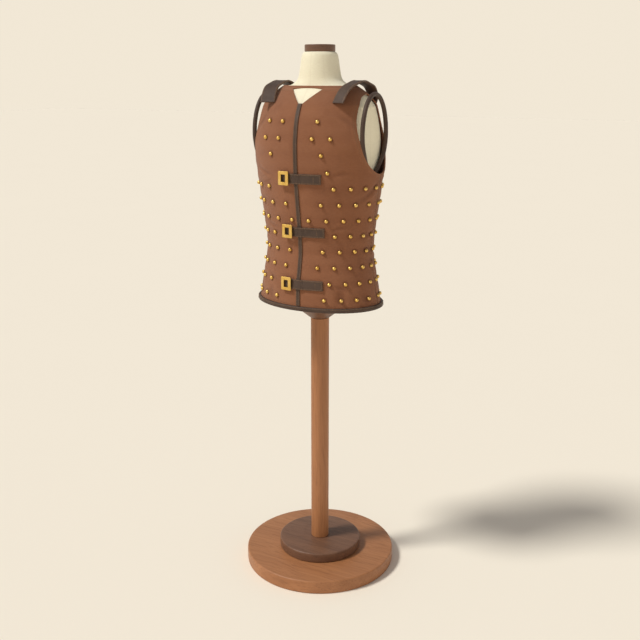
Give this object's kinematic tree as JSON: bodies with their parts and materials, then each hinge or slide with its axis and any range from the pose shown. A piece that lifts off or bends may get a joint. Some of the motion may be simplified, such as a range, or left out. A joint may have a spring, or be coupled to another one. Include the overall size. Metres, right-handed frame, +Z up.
{
  "type": "brigandine vest on a dress form stand",
  "caption": "Sleeveless riveted cloth and leather body armour vest, buckled down the front, worn by a limbless dress form on a wooden pole and round foot.",
  "frame": {"origin": "middle of the round foot, on the floor", "axes": "+Z up along the pole, -Y towards the front of the vest, +X towards the wearer's left"},
  "size_m": [0.456, 0.456, 1.55],
  "materials": {
    "cloth": "heavy woven cloth, matt",
    "leather": "dark brown leather, satin",
    "brass": "polished, lightly worn",
    "linen": "fine cream linen, matt",
    "wood": "oiled, satin",
    "dark_wood": "dark stained, satin"
  },
  "bodies": {
    "root": {"base_disc": "wood", "base_collar": "dark_wood", "pole": "wood", "form_socket": "dark_wood", "neck_cap": "dark_wood", "dress_form": "linen", "vest_front_right": "cloth", "vest_front_left": "cloth", "vest_back": "cloth", "neck_band": "cloth", "placket_strip": "leather", "hem_trim": "leather", "front_strap_1": "leather", "buckle_1": "brass", "front_strap_2": "leather", "buckle_2": "brass", "front_strap_3": "leather", "buckle_3": "brass", "armhole_roll_right": "leather", "armhole_roll_left": "leather", "shoulder_strap_right": "leather", "shoulder_strap_left": "leather"}
  },
  "joints": []
}
